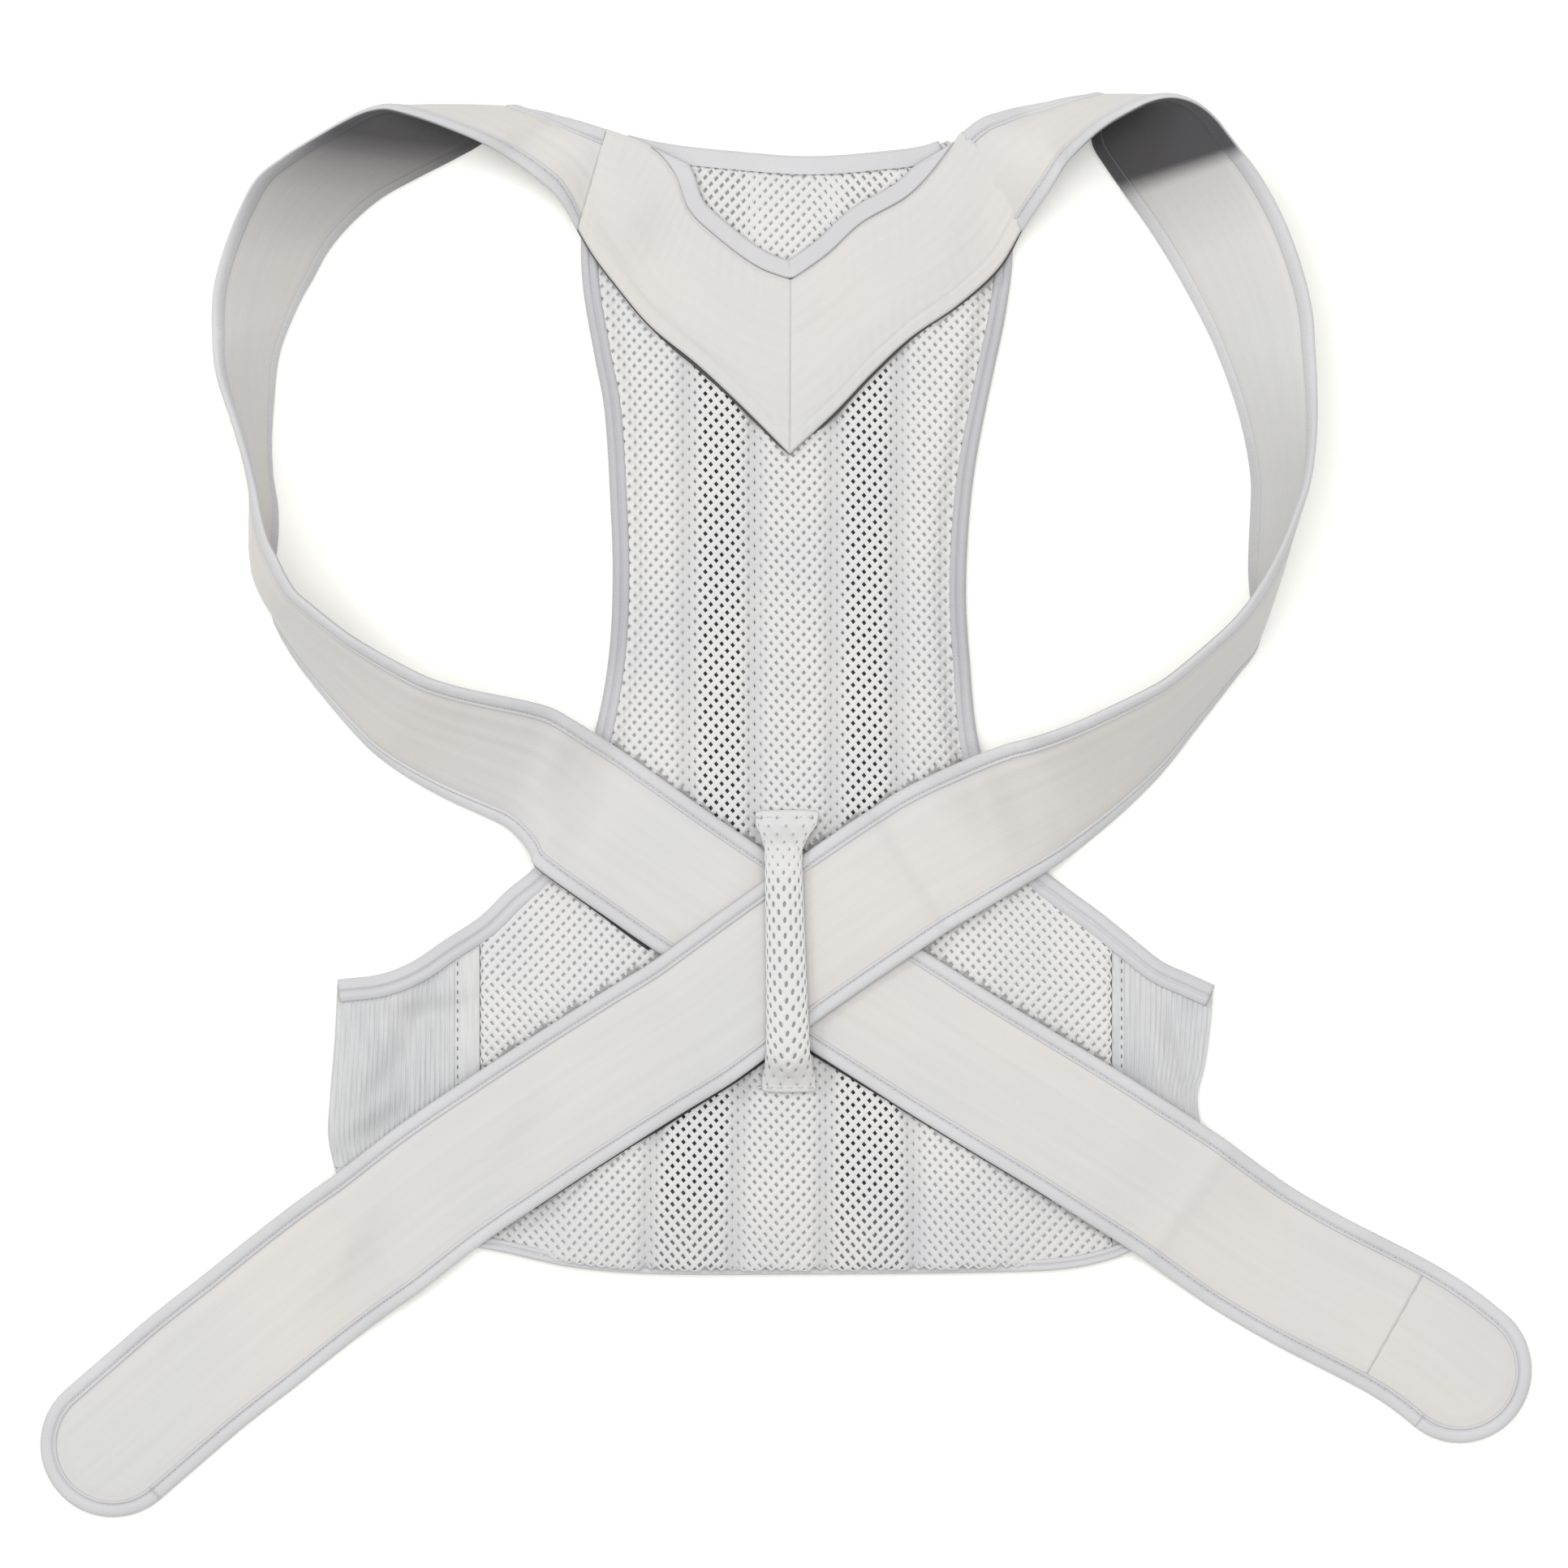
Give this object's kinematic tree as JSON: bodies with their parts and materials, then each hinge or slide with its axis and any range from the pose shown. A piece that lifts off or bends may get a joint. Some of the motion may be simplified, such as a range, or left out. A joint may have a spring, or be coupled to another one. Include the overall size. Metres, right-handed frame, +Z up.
{
  "type": "posture corrector",
  "caption": "Light grey back brace lying flat: padded mesh back panel with a V yoke, arm loop straps that cross under a keeper loop, elastic wings and rounded fastening ends.",
  "frame": {"origin": "on the table, under the centre of the whole outline", "axes": "+Z up from the table, +Y toward the neck, +X along the width with the straps' free ends spread out"},
  "size_m": [0.5866, 0.5608, 0.0565],
  "materials": {
    "spacer_mesh": "padded three-dimensional spacer mesh with rows of small holes, light grey",
    "strap_fabric": "smooth brushed knit, off-white",
    "binding": "folded edge binding tape, light grey",
    "elastic": "ribbed elastic, light grey",
    "hook_tape": "fine hook tape, off-white",
    "knitted_loop": "tube of knitted mesh, light grey"
  },
  "bodies": {
    "root": {"back_panel": "spacer_mesh", "left_elastic_wing": "elastic", "right_elastic_wing": "elastic", "left_seam_strip": "binding", "right_seam_strip": "binding", "left_side_binding": "binding", "right_side_binding": "binding", "bottom_binding": "binding", "neck_binding": "binding", "yoke_left": "strap_fabric", "yoke_right": "strap_fabric", "yoke_binding": "binding", "left_strap": "strap_fabric", "left_strap_end_patch": "hook_tape", "left_strap_arm_binding": "binding", "left_strap_outer_binding": "binding", "right_strap": "strap_fabric", "right_strap_arm_binding": "binding", "right_strap_outer_binding": "binding", "keeper_loop": "knitted_loop"}
  },
  "joints": []
}
